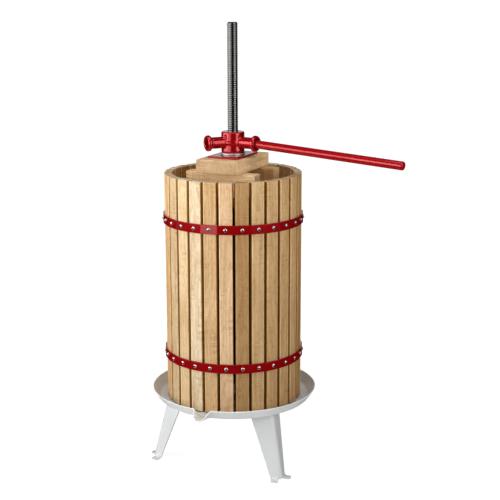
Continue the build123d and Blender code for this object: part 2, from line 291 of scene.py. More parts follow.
def noiseAt(tree, vector, scale, detail, rough=0.55):
    inputs = {"Vector": vector, "Scale": scale, "Detail": detail, "Roughness": rough}
    return addNode(tree, "TexNoise", inputs).outputs["Fac"]


def ranged(tree, value, low, high, toLow=0.0, toHigh=1.0):
    inputs = {"Value": value, "From Min": low, "From Max": high, "To Min": toLow, "To Max": toHigh}
    return addNode(tree, "MapRange", inputs).outputs["Result"]


def stained(tree, colour, amount, stain):  # multiplies the colour by the stain, as far as the amount says
    inputs = {0: amount, 6: colour, 7: (*stain, 1)}
    return addNode(tree, "Mix", inputs, data_type="RGBA", blend_type="MULTIPLY").outputs[2]


def bumped(tree, height, strength, distance):
    bump = addNode(tree, "Bump", {"Height": height, "Strength": strength, "Distance": distance})
    return bump.outputs["Normal"]


def stretched(tree, vector, scale):
    return addNode(tree, "Mapping", {"Vector": vector, "Scale": scale}).outputs["Vector"]


def makeWood(name, look):  # grain runs along the piece's own Z
    material, tree, shader = newMaterial(name)
    spot = addNode(tree, "TexCoord", {}).outputs
    seed = addNode(tree, "Attribute", {}, attribute_name="boardSeed").outputs["Fac"]
    colour = addNode(tree, "Attribute", {}, attribute_name="boardColour").outputs["Color"]
    shift = addNode(tree, "VectorMath", {0: look["treeStep"], "Scale": seed}, operation="SCALE")
    log = addNode(tree, "VectorMath", {0: spot["Object"], 1: shift.outputs[0]}).outputs[0]

    sway = noiseAt(tree, stretched(tree, log, look["swayStretch"]), look["swayScale"], detail=1)
    lean = ranged(tree, sway, *look["swaySpan"], -look["sway"], look["sway"])
    leaning = addNode(tree, "VectorMath", {0: look["swayWay"], "Scale": lean}, operation="SCALE").outputs[0]
    figure = addNode(tree, "VectorMath", {0: log, 1: leaning}).outputs[0]
    ringInputs = {**look["rings"], "Vector": stretched(tree, figure, look["ringStretch"])}
    rings = addNode(tree, "TexWave", ringInputs, wave_type="RINGS", rings_direction="Z").outputs["Fac"]
    lateWood = ranged(tree, rings, *look["lateSpan"])
    colour = stained(tree, colour, lateWood, look["lateStain"])
    marks = {}
    for mark, (scale, length, detail, rough, span, stain) in look["marks"].items():
        marks[mark] = noiseAt(tree, stretched(tree, log, (1, 1, length)), scale, detail, rough)
        colour = stained(tree, colour, ranged(tree, marks[mark], *span), stain)
    saw = {}
    for i, vector, (scale, stretch, span) in ((0, log, look["teeth"]), (1, figure, look["sawn"])):
        saw[i] = ranged(tree, noiseAt(tree, stretched(tree, vector, stretch), scale, detail=1), *span)
    ripple = addNode(tree, "Math", saw, operation="MULTIPLY").outputs[0]
    colour = stained(tree, colour, ripple, look["rippleStain"])

    facing = addNode(tree, "SeparateXYZ", {0: spot["Normal"]}).outputs
    endways = addNode(tree, "Math", {0: facing["Z"]}, operation="ABSOLUTE").outputs[0]
    colour = stained(tree, colour, ranged(tree, endways, *look["endSpan"]), look["endStain"])
    if "edgeStain" in look:  # a slat's painted highlight on its rounded edges, and painted shade on its sides, on its inner face and towards its foot
        sideways = addNode(tree, "Math", {0: facing["Y"]}, operation="ABSOLUTE").outputs[0]
        along = addNode(tree, "SeparateXYZ", {0: spot["Object"]}).outputs["Z"]
        for part, value in (("worn", sideways), ("edge", sideways), ("inner", facing["X"]), ("damp", along)):
            colour = stained(tree, colour, ranged(tree, value, *look[part + "Span"]), look[part + "Stain"])
    relief = addNode(tree, "Math", {0: marks["fibres"], 1: lateWood}, operation="ADD").outputs[0]
    feed(tree, shader, {
        "Base Color": colour,
        "Roughness": ranged(tree, marks["fibres"], *noiseSpread, *look["roughness"]),
        "Specular IOR Level": look["shine"],
        "Normal": bumped(tree, relief, look["relief"], look["reliefDepth"]),
    })
    return material


def makePaint(name, look):  # gloss coat over metal, with the peel of sprayed paint
    material, tree, shader = newMaterial(name)
    spot = addNode(tree, "TexCoord", {}).outputs["Object"]
    patches = noiseAt(tree, spot, look["patchScale"], detail=3)
    peel = noiseAt(tree, spot, look["peelScale"], detail=2)
    dust = noiseAt(tree, spot, look["dustScale"], detail=1)
    colour = stained(tree, (*look["colour"], 1), ranged(tree, patches, *patchSpan), look["patchStain"])
    colour = stained(tree, colour, ranged(tree, dust, *look["dustSpan"]), look["dustStain"])
    feed(tree, shader, {
        "Base Color": colour,
        "Roughness": ranged(tree, patches, *noiseSpread, *look["roughness"]),
        "Metallic": look["metallic"],
        "Coat Weight": look["coat"],
        "Coat Roughness": look["coatRoughness"],
        "Specular IOR Level": look["shine"],
        "Normal": bumped(tree, peel, look["peel"], look["peelDepth"]),
    })
    return material


def makeMetal(name, look):
    material, tree, shader = newMaterial(name)
    spot = addNode(tree, "TexCoord", {}).outputs["Object"]
    patches = noiseAt(tree, spot, look["patchScale"], detail=4)
    scratches = noiseAt(tree, stretched(tree, spot, look["brushing"]), look["scratchScale"], detail=2)
    colour = stained(tree, (*look["colour"], 1), ranged(tree, patches, *patchSpan), look["patchStain"])
    if "grooveShade" in look:  # painted shade in the thread's grooves
        around = addNode(tree, "VectorMath", {0: spot, 1: (1, 1, 0)}, operation="MULTIPLY").outputs[0]
        radius = addNode(tree, "VectorMath", {0: around}, operation="LENGTH").outputs["Value"]
        colour = stained(tree, colour, ranged(tree, radius, look["crest"], look["root"]), look["grooveShade"])
    # painted shade in the screw heads' recesses
    if "recessShade" in look:
        paintedRecessShade = addNode(tree, "Attribute", {}, attribute_name="paintedRecessShade").outputs["Fac"]
        colour = stained(tree, colour, paintedRecessShade, look["recessShade"])
    feed(tree, shader, {
        "Base Color": colour,
        "Roughness": ranged(tree, scratches, *noiseSpread, *look["roughness"]),
        "Metallic": look["metallic"],
        "Normal": bumped(tree, scratches, look["relief"], look["reliefDepth"]),
    })
    return material


woodLook = {
    "treeStep": (0.61, 0.37, 3.1),  # how far apart in the tree two boards were sawn
    "sway": 0.014,  # how far the grain wanders across a board
    "swayWay": (1, 0.6, 0),
    "swayScale": 30,
    "swayStretch": (0.5, 0.5, 0.12),
    "swaySpan": (0.2, 0.8),
    "rings": {"Scale": 70, "Distortion": 6, "Detail": 3, "Detail Scale": 0.4},
    "ringStretch": (1, 1, 0.055),
    "lateSpan": (0.35, 1),
    "lateStain": (0.92, 0.88, 0.81),
    "marks": {  # scale, stretch along the grain, detail, roughness, span of the noise that shows, stain
        "streaks": (210, 0.05, 3, 0.55, (0.42, 0.72), (0.86, 0.8, 0.7)),
        "fibres": (1500, 0.022, 4, 0.65, (0.45, 0.75), (0.88, 0.83, 0.74)),
        "flecks": (1150, 0.09, 2, 0.55, (0.64, 0.72), (0.7, 0.58, 0.44)),
        "dashes": (430, 0.22, 2, 0.55, (0.5, 0.68), (0.84, 0.77, 0.66)),
        "clouds": (26, 0.35, 2, 0.55, (0.4, 0.7), (0.84, 0.79, 0.71)),
    },
    "teeth": (260, (0.1, 0.1, 1), (0.5, 0.66)),  # the saw's marks: scale, stretch, span
    "sawn": (45, (1, 1, 0.3), (0.52, 0.62)),  # patches where they were left
    "rippleStain": (0.84, 0.8, 0.72),
    "endSpan": (0.75, 0.97),  # how far a face looks along the grain
    "endStain": (0.86, 0.81, 0.78),
    "roughness": (0.5, 0.68),
    "shine": 0.35,
    "relief": 0.3,
    "reliefDepth": 0.0004,
}
slatWoodLook = {
    **woodLook,
    "endStain": (0.82, 0.98, 1.36),  # greyer than the sides
    "wornSpan": (0.1, 0.35),
    "wornStain": (1.22, 1.25, 1.3),  # rounded edges painted pale, a painted highlight
    # painted shade on the slats' sides, in the gaps between them
    "edgeSpan": (0.9, 0.99),
    "edgeStain": (0.47, 0.35, 0.125),
    # painted shade on the slats' inner faces, inside the basket
    "innerSpan": (-0.9, -0.99),
    "innerStain": (0.6, 0.54, 0.42),
    "dampSpan": (0.46, 0),  # heights on the slat between which it darkens, painted shade falling off towards its foot
    "dampStain": (0.76, 0.75, 0.73),
}
blockWoodLook = {
    **woodLook,
    "rings": {**woodLook["rings"], "Scale": 90},
    "relief": 0.4,
    # end grain darker in its own right, and deepened with painted shade on the blocks' end faces
    "endStain": (0.73, 0.69, 0.67),
}
rearLitEndsLook = {**blockWoodLook, "endStain": (1.1, 1.19, 1.27)}  # its ends painted pale, painted light from the side
paintLook = {"dustScale": 2600, "dustSpan": (0.68, 0.74), "peelDepth": 0.0005}
redLook = {
    **paintLook,
    "colour": (0.34, 0.002, 0.004),
    "metallic": 0.3,  # flake in the paint, which keeps its highlights red
    "patchScale": 35,
    "patchStain": (0.86, 0.8, 0.8),
    "dustStain": (0.82, 0.82, 0.82),
    "roughness": (0.2, 0.3),
    "coat": 0.75,
    "coatRoughness": 0.06,
    "shine": 0.12,
    "peelScale": 420,
    "peel": 0.03,
}
castLook = {
    **redLook,
    "colour": (0.46, 0.003, 0.009),
    "metallic": 0.5,
    "coat": 0.85,
    "coatRoughness": 0.03,
    "peelScale": 240,
    "peel": 0.07,
}
leverLook = {**redLook, "colour": (0.4, 0.003, 0.007), "metallic": 0.2, "coat": 0.5}
trayLook = {
    **paintLook,
    "colour": (0.83, 0.84, 0.84),
    "metallic": 0,
    "patchScale": 18,
    "patchStain": (0.95, 0.95, 0.94),
    "dustStain": (0.9, 0.9, 0.89),
    "roughness": (0.3, 0.42),
    "coat": 0.15,
    "coatRoughness": 0.2,
    "shine": 0.5,
    "peelScale": 900,
    "peel": 0.08,
}
# a darker copy of the tray's enamel: painted shade on the legs under the tray
legShadedLook = {**trayLook, "colour": (0.7, 0.71, 0.715)}
zincLook = {
    "colour": (0.7, 0.7, 0.69),
    "patchScale": 240,
    "patchStain": (0.8, 0.8, 0.78),
    "scratchScale": 900,
    "brushing": (1, 1, 1),
    "metallic": 0.7,
    "roughness": (0.28, 0.45),
    "relief": 0.1,
    "reliefDepth": 0.0002,
}
steelLook = {
    **zincLook,
    "colour": (0.22, 0.215, 0.21),
    "metallic": 1.0,
    "roughness": (0.2, 0.28),
    "brushing": (0.15, 0.15, 1),
    "crest": 0.0099,  # radii between which the painted shade comes in
    "root": 0.0094,
    "grooveShade": (0.05, 0.05, 0.045),
}
brightLook = {
    **zincLook,
    "colour": (0.9, 0.89, 0.87),
    "metallic": 0.9,
    "roughness": (0.2, 0.3),
    "recessShade": (0.06, 0.05, 0.05),  # painted shade in the heads' recesses
}
darkLook = {**zincLook, "colour": (0.045, 0.04, 0.04), "metallic": 0.6, "roughness": (0.35, 0.5)}

slatWood = makeWood("slatWood", slatWoodLook)
blockWood = makeWood("blockWood", blockWoodLook)
rearWoodLitEnds = makeWood("rearWoodLitEnds", rearLitEndsLook)
sheetPaint = makePaint("sheetPaint", redLook)
castPaint = makePaint("castPaint", castLook)
leverPaint = makePaint("leverPaint", leverLook)
trayEnamel = makePaint("trayEnamel", trayLook)
legShadedEnamel = makePaint("legShadedEnamel", legShadedLook)
threadSteel = makeMetal("threadSteel", steelLook)
zincPlate = makeMetal("zincPlate", zincLook)
brightNickel = makeMetal("brightNickel", brightLook)
blackOxide = makeMetal("blackOxide", darkLook)
print("materials made:", len(bpy.data.materials))

# Wood tones, from pale sapwood to darker heartwood
woodTones = {
    "cream": (0.97, 0.81, 0.58),
    "pale": (0.93, 0.7, 0.43),
    "rose": (0.92, 0.655, 0.418),
    "honey": (0.8, 0.6, 0.37),
    "straw": (0.82, 0.558, 0.3),
    "olive": (0.75, 0.52, 0.275),
    "tan": (0.725, 0.475, 0.24),
    "umber": (0.545, 0.328, 0.139),
}


def addBoard(name, mesh, body, node, material, place, tone, seed):  # a wooden piece with its own tone
    count = len(mesh.vertices)
    seeds = mesh.attributes.new("boardSeed", "FLOAT", "POINT")
    seeds.data.foreach_set("value", [seed] * count)
    colours = mesh.attributes.new("boardColour", "FLOAT_COLOR", "POINT")
    colours.data.foreach_set("color", (*woodTones[tone], 1) * count)
    return addPiece(name, mesh, body, [node], material, place)


# Basket slats
slat = {
    "count": 27,
    "edge": 0.003,  # outer long edges
    "innerEdge": 0.0016,
    "end": 0.0011,
    "uneven": 0.0007,  # how much shorter a slat may be than the tallest
    # from the slat just right of the front, anticlockwise seen from above
    "tones": "straw rose umber olive tan tan tan umber tan rose straw olive cream straw umber rose "
    "tan straw olive tan rose straw tan straw honey pale cream",
}
rearLow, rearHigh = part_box("slat_14")  # it lies square to the axes
slatWidth = rearHigh.x - rearLow.x
slatOuter = rearHigh.y
slatThickness = rearHigh.y - rearLow.y
slatFoot = rearLow.z
slatTop = rearHigh.z
slatStep = 360 / slat["count"]
sawyer = random.Random(11)

slatCorners = [
    (-slatThickness, -slatWidth / 2, slat["innerEdge"]),
    (0, -slatWidth / 2, slat["edge"]),
    (0, slatWidth / 2, slat["edge"]),
    (-slatThickness, slatWidth / 2, slat["innerEdge"]),
]
slatOutline = rounded(slatCorners, steps=6)
for number, tone in enumerate(slat["tones"].split(), start=1):
    place = standFrame((number - 0.5) * slatStep, slatOuter, slatFoot)
    length = slatTop - slatFoot - sawyer.uniform(0, slat["uneven"])
    mesh = extruded("basketSlat", slatOutline, softLevels(0, length, slat["end"]), place)
    node = f"slat_{number:02d}"
    seed = sawyer.uniform(0, 1)
    addBoard(f"basketSlat{number:02d}", mesh, "base", node, slatWood, place, tone, seed)
print("slats made:", slat["count"])

# Hoops, bent flat at every slat, and their screws
hoop = {
    "bend": 0.006,
    "edge": 0.0007,
    "screwHead": 0.0034,
    "screwRise": 0.0024,
    "screwBrim": 0.35,  # share of the rise below the dome
    "recessArm": 0.0023,
    "recessHalf": 0.0009,
    "recessTaper": 0.5,  # share of the half width lost at the recess's floor
    "recessSpan": (0.3, 1.2),  # from its floor to clear of the dome, as shares of the rise
    "recessWall": 0.4,  # a face that looks up less than this is a wall
}


def hoopRing(stand, height):  # one loop of the hoop, a little way out from its inner face
    radius = (slatOuter + stand) / cos(pi / slat["count"])
    turns = [i * slatStep for i in range(slat["count"])]
    corners = [(*(outward(turn) * radius).xy, hoop["bend"] + stand) for turn in turns]
    return lifted(rounded(corners, steps=5), height)


def screwHead():
    rise = hoop["screwRise"]
    head = hoop["screwHead"]
    brim = rise * hoop["screwBrim"]
    turns = quarterTurns(steps=9)[:-1]
    crown = [(head * cos(turn), brim + (rise - brim) * sin(turn)) for turn in turns]
    dome = turned("dome", [(head, 0), *crown], steps=32, crease=50)
    arm = hoop["recessArm"]
    half = hoop["recessHalf"]
    quarter = [Vector((half, half)), Vector((half, arm)), Vector((-half, arm))]
    cross = [Matrix.Rotation(pi / 2 * turn, 2) @ p for turn in range(4) for p in quarter]
    floor, clear = hoop["recessSpan"]
    recess = extruded("recess", cross, [(floor * rise, hoop["recessTaper"] * half), (clear * rise, 0)])
    mesh = combined(dome, recess, "DIFFERENCE")
    # faces inside the recess take the painted shade
    paintedRecessShade = []
    for face in mesh.polygons:
        sunk = face.normal.z < hoop["recessWall"] or face.center.z < rise / 2
        paintedRecessShade.append(float(sunk and 0 < face.center.z and face.center.xy.length < arm))
    mesh.attributes.new("paintedRecessShade", "FLOAT", "FACE").data.foreach_set("value", paintedRecessShade)
    return mesh


driver = random.Random(5)
headMesh = screwHead()
for name, node in (("lowerHoopBand", "lower_hoop"), ("upperHoopBand", "upper_hoop")):
    low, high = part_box(node)
    thickness = high.y - slatOuter  # the rear facet is square to Y
    section = roundedBox(0, thickness, low.z, high.z, hoop["edge"], steps=3)
    bm = bmesh.new()
    skin(bm, [hoopRing(p.x, p.y) for p in section], wrap=True)
    addPiece(name, toMesh(bm, name), "base", [node], sheetPaint)
    bm = bmesh.new()
    for number in range(slat["count"]):
        place = faceFrame((number + 0.5) * slatStep, slatOuter + thickness, (low.z + high.z) / 2)
        driven = headMesh.copy()
        driven.transform(place @ Matrix.Rotation(driver.uniform(0, pi / 2), 4, "Z"))
        bm.from_mesh(driven)
    screwName = name.replace("Band", "Screws")
    mesh = toMesh(bm, screwName, crease=30)
    addPiece(screwName, mesh, "base", [node + "_screws"], brightNickel)
print("hoops made")

# Tray: a pressed dish with a pouring lip
tray = {
    "sheet": 0.002,
    "hole": 0.0102,
    "floorRings": (0.05, 0.1, 0.12),
    "flare": 0.0125,
    "bend": 0.006,
    "edge": 0.0008,
    "spoutAngle": 4,
    "spoutHalf": 0.0175,
    "spoutReach": 0.02,
    "spoutDrop": 0.9,  # share of the wall's height that the lip gives up at its middle
    "spoutFullness": 2.5,  # above 1 the lip is a U and not a V, seen from above
    "dropFullness": 1.6,  # and seen from the front
    "lipStep": 0.4,  # degrees between columns at the lip
    "lipColumns": 17,  # to either side of its middle
    "restColumns": 116,
}
trayLow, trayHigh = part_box("tray")
trayRim = trayHigh.x
trayFloor = trayRim - tray["flare"]
trayDepth = trayHigh.z - trayLow.z


def trayPoint(radius, rise, turn):  # a point of the outside, drawn out where the lip is
    along = radians((turn - tray["spoutAngle"] + 180) % 360 - 180) * trayRim
    lip = 0.5 + 0.5 * cos(pi * min(abs(along) / tray["spoutHalf"], 1))
    drawn = 1 - (1 - lip) ** tray["spoutFullness"]
    sunk = 1 - (1 - lip) ** tray["dropFullness"]
    reach = radius + tray["spoutReach"] * drawn * rise / trayDepth
    return outward(turn) * reach + zAxis * (trayLow.z + rise * (1 - tray["spoutDrop"] * sunk))


*innerRings, lastRing = tray["floorRings"]
wallCorners = [(lastRing, 0, 0), (trayFloor, 0, tray["bend"]), (trayRim, trayDepth, 0)]
trayProfile = [(radius, 0) for radius in (tray["hole"], *innerRings)]
trayProfile += [tuple(p) for p in rounded(wallCorners, steps=6, closed=False)]
wallTop = trayProfile.pop()
wallFoot = trayProfile[-1]
for share in fractions(steps=8)[1:]:
    trayProfile.append(tuple(a + (b - a) * share for a, b in zip(wallFoot, wallTop)))
lipSpan = range(-tray["lipColumns"], tray["lipColumns"] + 1)
lipTurns = [tray["spoutAngle"] + step * tray["lipStep"] for step in lipSpan]
restStep = (360 - lipTurns[-1] + lipTurns[0]) / tray["restColumns"]
trayTurns = lipTurns + [lipTurns[-1] + step * restStep for step in range(1, tray["restColumns"])]
bm = bmesh.new()
rows = [[bm.verts.new(trayPoint(radius, rise, turn)) for turn in trayTurns] for radius, rise in trayProfile]
sheetGrid(bm, [row + row[:1] for row in rows])
rounding = broken(tray["edge"], segments=3, angle=60)
trayMesh = shaped(toMesh(bm, "tray"), thickened(tray["sheet"]), rounding)
addPiece("pressingTray", smoothed(trayMesh), "base", ["tray"], trayEnamel)
print("tray made")

# Legs: one folded sheet each, with foot tabs turned out and top tabs turned in
leg = {
    "angles": {"leg_left": -60, "leg_right": 60, "leg_rear": 180},
    "sheet": 0.0025,
    "inset": 0.0152,  # from the foot of the tray's wall to the fold, at the top
    "splay": 0.0324,
    "wingTop": 0.046,
    "wingFoot": 0.0215,
    "open": 100,  # angle between the wings
    "bend": 0.009,
    "heights": (0.01, 0.03, 0.055, 0.08, 0.105, 0.12),
    "columns": (1, 0.69, 0.428, 0.18),  # shares of a wing, from its edge
    "topColumns": 3,  # of these, on the top tab
    "topTab": 0.019,
    "topGap": 0.0002,  # under the tray, between the top tabs
    "footTab": 0.013,
    "footCorner": 0.004,
    "fold": 0.005,  # of both tabs
    "footHole": 0.00275,
    "footHoleIn": 0.0075,  # from the wing's outer face, and from its edge
    "drillSpan": (-0.005, 0.01),
    "shinFrom": 0.05,  # faces above this look outward
    "edge": 0.0006,
}
legTop = trayLow.z
foldTop = trayFloor - leg["inset"]
halfOpen = radians(leg["open"] / 2)
wingBack = cos(halfOpen)  # how far a wing runs inward, and aside, for its length
wingAside = sin(halfOpen)


def legSection(column, height):  # column is (side, share) on a wing, or ("bend", turn)
    up = height / legTop
    corner = foldTop + leg["splay"] * (1 - up)
    wing = leg["wingFoot"] + (leg["wingTop"] - leg["wingFoot"]) * up
    kind, share = column
    if kind == "bend":
        centre = corner - leg["bend"] / wingAside
        return Vector((centre + leg["bend"] * cos(share), leg["bend"] * sin(share), height))
    bendEnd = leg["bend"] / tan(halfOpen)
    along = bendEnd + (wing - bendEnd) * share
    return Vector((corner - along * wingBack, kind * along * wingAside, height))


def foldedTab(bm, columns, edgeVerts, height, away, length, corner=0):  # turns the sheet over at its edge
    # away is +1 to fold outward at the foot, -1 to fold inward at the top
    rows = [edgeVerts]
    ends = [legSection(column, height) for column in columns]
    side = columns[0][0]
    out = Vector((wingAside, side * wingBack, 0)) * away
    middle = sum(ends, Vector()) / len(ends)
    for t in fractions(steps=6)[1:]:
        row = []
        for vert, knee in zip(edgeVerts, ends):
            tip = knee + out * leg["fold"]
            row.append(bm.verts.new(vert.co.lerp(knee, t).lerp(knee.lerp(tip, t), t)))
        rows.append(row)
    half = (ends[0] - ends[-1]).length / 2
    reaches = [(leg["fold"] + (length - corner - leg["fold"]) * share, 1) for share in (0.5, 1)]
    for turn in quarterTurns(steps=5)[1:] if corner else ():
        reaches.append((length - corner + corner * sin(turn), (half - corner + corner * cos(turn)) / half))
    for reach, narrow in reaches:
        rows.append([bm.verts.new(middle + (end - middle) * narrow + out * reach) for end in ends])
    sheetGrid(bm, rows)


def legMesh():
    lastTurn = pi / 2 - halfOpen
    bends = [("bend", lastTurn * (2 * share - 1)) for share in fractions(steps=8)]
    shares = leg["columns"]
    columns = [(-1, share) for share in shares] + bends + [(1, share) for share in reversed(shares)]
    footTop = leg["sheet"] + leg["fold"]
    heights = (footTop, *leg["heights"], legTop - leg["fold"])
    bm = bmesh.new()
    rows = [[bm.verts.new(legSection(column, height)) for column in columns] for height in heights]
    sheetGrid(bm, rows)
    last = len(columns) - 1
    foot = len(shares) + 1  # columns of a foot tab
    for span in (slice(0, foot), slice(last, last - foot, -1)):
        tabColumns = [(columns[span][0][0], share) for share in (*shares, 0)]
        foldedTab(bm, tabColumns, rows[0][span], leg["sheet"], 1, leg["footTab"], leg["footCorner"])
    top = leg["topColumns"]
    for span in (slice(0, top), slice(last, last - top, -1)):
        foldedTab(bm, columns[span], rows[-1][span], legTop, -1, leg["topTab"])
    inner = slice(len(shares), last - len(shares) + 1)
    lowEdge = [bm.verts.new(legSection(column, leg["sheet"])) for column in columns[inner]]
    sheetGrid(bm, [lowEdge, rows[0][inner]])
    upper = slice(top - 1, last - top + 2)
    highEdge = [bm.verts.new(legSection(column, legTop - leg["topGap"])) for column in columns[upper]]
    sheetGrid(bm, [rows[-1][upper], highEdge])
    bmesh.ops.recalc_face_normals(bm, faces=bm.faces)
    shin = [face for face in bm.faces if face.calc_center_median().z > leg["shinFrom"]]
    if any(face.normal.x < 0 for face in shin):  # inside out
        bmesh.ops.reverse_faces(bm, faces=bm.faces)
    mesh = bpy.data.meshes.new("leg")
    bm.to_mesh(mesh)
    bm.free()
    solid = shaped(mesh, thickened(leg["sheet"]))
    holes = []
    holeAlong = leg["wingFoot"] - leg["footHoleIn"]
    for side in (-1, 1):
        knee = Vector((foldTop + leg["splay"], 0, 0)) + Vector((-wingBack, side * wingAside, 0)) * holeAlong
        hole = knee + Vector((wingAside, side * wingBack, 0)) * leg["footHoleIn"]
        holes.append(Matrix.Translation(hole))
    drill = [(leg["footHole"], height) for height in leg["drillSpan"]]
    holed = combined(solid, turned("holes", drill, steps=28, places=holes), "DIFFERENCE")
    return smoothed(shaped(holed, broken(leg["edge"], segments=2, angle=55)))


oneLeg = legMesh()
for node, angle in leg["angles"].items():
    mesh = oneLeg.copy()
    place = standFrame(angle)
    mesh.transform(place)
    addPiece(node.replace("leg_", "trayLeg."), mesh, "base", [node], legShadedEnamel, place)
print("legs made:", len(leg["angles"]))

# Fasteners
hexForm = {
    "chamfer": 0.6,  # share of the corner that is turned off
    "barrel": 1.02,  # radius of the turned form, to the corner's
    "lip": 0.12,  # share of the bore's radius
}


def hexNut(bm, width, low, high, bore, place=upright):  # a six-sided nut with its corners turned off
    corner = width / sqrt(3)
    chamfer = (corner - width / 2) * hexForm["chamfer"]
    flats = extruded("flats", circle(corner, 6), [(low, 0), (high, 0)])
    wide = corner * hexForm["barrel"]
    barrel = [(width / 2, low), (wide, low + chamfer), (wide, high - chamfer), (width / 2, high)]
    body = combined(flats, turned("barrel", barrel, steps=48), "INTERSECT")
    mesh = boredThrough(body, bore, bore * hexForm["lip"], low, high, steps=40)
    mesh.transform(place)
    bm.from_mesh(mesh)


bolt = {
    "along": 0.035,  # from the leg's fold, on a wing
    "inside": 0.01075,  # inward from the wing
    "head": 0.0055,
    "brim": 0.0008,
    "shank": 0.003,
    "tip": 0.0024,
    "tipLength": 0.0006,
    "nut": 0.01,
    "nutEase": 1.03,  # bore to shank
}
boltSpots = []
for angle in leg["angles"].values():
    for side in (-1, 1):
        depth = bolt["along"] * wingBack + bolt["inside"] * wingAside
        aside = bolt["along"] * wingAside - bolt["inside"] * wingBack
        boltSpots.append(standFrame(angle) @ Matrix.Translation((foldTop - depth, side * aside, 0)))
low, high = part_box("leg_bolts")
trayTopFace = trayLow.z + tray["sheet"]
brimTop = trayTopFace + bolt["brim"]
boltProfile = [(bolt["tip"], low.z), (bolt["shank"], low.z + bolt["tipLength"])]
boltProfile += [(bolt["shank"], trayTopFace), (bolt["head"], trayTopFace), (bolt["head"], brimTop)]
for turn in quarterTurns(steps=7)[1:-1]:
    boltProfile.append((bolt["head"] * cos(turn), brimTop + (high.z - brimTop) * sin(turn)))
mesh = turned("legBoltSet", boltProfile, steps=28, places=boltSpots)
addPiece("legBoltSet", mesh, "base", ["leg_bolts"], zincPlate)
low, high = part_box("leg_nuts")
bm = bmesh.new()
for spot in boltSpots:
    hexNut(bm, bolt["nut"], low.z, high.z, bolt["shank"] * bolt["nutEase"], spot)
addPiece("legNutSet", toMesh(bm, "legNutSet", crease=25), "base", ["leg_nuts"], zincPlate)

spindle = {
    "radius": 0.01,
    "root": 0.0087,
    "pitch": 0.004,
    "thread": ((0, 0), (0.12, 1), (0.62, 1), (0.74, 0)),  # (share of the pitch, 1 at the crest)
    "columns": 32,
    "chamfer": 0.002,
    "spare": 2,  # turns cut off at each end
    "cutWithin": 1e-6,  # of the plane, for an edge of the cut
    "nutEase": 1.01,  # bore to radius
    "ringEase": 1.02,
    "rings": {  # node, body, rounded edge
        "spreaderPlate": ("base_plate", "base", 0.0008),
        "floorWasher": ("foot_washer", "base", 0.0005),
        "slipWasher": ("thrust_washer", "stack", 0.0008),
    },
}
for name, (node, body, edge) in spindle["rings"].items():
    low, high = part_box(node)
    section = roundedBox(spindle["radius"] * spindle["ringEase"], high.x, low.z, high.z, edge, steps=3)
    mesh = turned(name, section, steps=96, hollow=True)
    addPiece(name, mesh, body, [node], zincPlate)
for name, node in (("underTrayNut", "base_nut"), ("lockNut", "foot_nut")):
    low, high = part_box(node)
    bm = bmesh.new()
    nutWidth = min(high.x - low.x, high.y - low.y)
    hexNut(bm, nutWidth, low.z, high.z, spindle["radius"] * spindle["nutEase"])
    addPiece(name, toMesh(bm, name, crease=25), "base", [node], zincPlate)
print("fasteners made")

# Spindle: a right-hand trapezoid thread, swept as one helix and cut off square
low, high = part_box("spindle")
columnCount = round(((high.z - low.z) / spindle["pitch"] + 2 * spindle["spare"]) * spindle["columns"])
bm = bmesh.new()
helix = []
for column in range(columnCount):
    turn = 2 * pi * column / spindle["columns"]
    foot = low.z + spindle["pitch"] * (column / spindle["columns"] - spindle["spare"])
    points = []
    for share, crest in spindle["thread"]:
        height = foot + share * spindle["pitch"]
        radius = spindle["radius"] if crest else spindle["root"]
        radius = min(radius, spindle["radius"] - spindle["chamfer"] + max(high.z - height, 0))
        points.append(bm.verts.new((radius * cos(turn), radius * sin(turn), height)))
    helix.append(points)
for column in range(columnCount - 1):
    here = list(helix[column])
    ahead = list(helix[column + 1])
    above = column + spindle["columns"]
    if above + 1 < columnCount:
        here.append(helix[above][0])
        ahead.append(helix[above + 1][0])
    for i in range(1, len(here)):
        bm.faces.new((here[i - 1], ahead[i - 1], ahead[i], here[i]))
for height, side in ((low.z, -1), (high.z, 1)):
    everything = [*bm.verts, *bm.edges, *bm.faces]
    bmesh.ops.bisect_plane(
        bm, geom=everything, plane_co=(0, 0, height), plane_no=(0, 0, side), clear_outer=True, dist=1e-7
    )
    ends = [edge for edge in bm.edges if edge.is_boundary]
    rim = [edge for edge in ends if abs(edge.verts[0].co.z - height) < spindle["cutWithin"]]
    bmesh.ops.contextual_create(bm, geom=rim)
mesh = toMesh(bm, "threadedSpindle", crease=30)
addPiece("threadedSpindle", mesh, "base", ["spindle"], threadSteel)
print("spindle made")

# Press head: wooden plates and blocks, grain along each piece's own Z
head = {
    "hole": 0.0135,
    "holeLip": 0.0006,
    "corner": 0.002,
    "edge": 0.0014,
    "plateEdge": 0.0012,
}
alongX = framed(Vector((0, 1, 0)), zAxis, Vector((1, 0, 0)), Vector())
alongY = framed(zAxis, Vector((1, 0, 0)), Vector((0, 1, 0)), Vector())


def woodBlock(name, node, grain, material, tone, seed, bored=False):
    low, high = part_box(node)
    outline = roundedBox(low.x, high.x, low.y, high.y, head["corner"])
    mesh = extruded(name, outline, softLevels(low.z, high.z, head["edge"]))
    if bored:
        mesh = boredThrough(mesh, head["hole"], head["holeLip"], low.z, high.z)
    place = Matrix.Translation((low + high) / 2) @ grain
    addBoard(name, mesh, "stack", node, material, place, tone, seed)


woodBlock("crossBlockFront", "cross_block_front", alongX, blockWood, "pale", 0.31)
# the rear block's darker tone is painted shade on its front face, its pale ends painted light
woodBlock("crossBlockRear", "cross_block_rear", alongX, rearWoodLitEnds, "tan", 0.67)
woodBlock("topBlock", "top_block", alongY, blockWood, "pale", 0.12, bored=True)

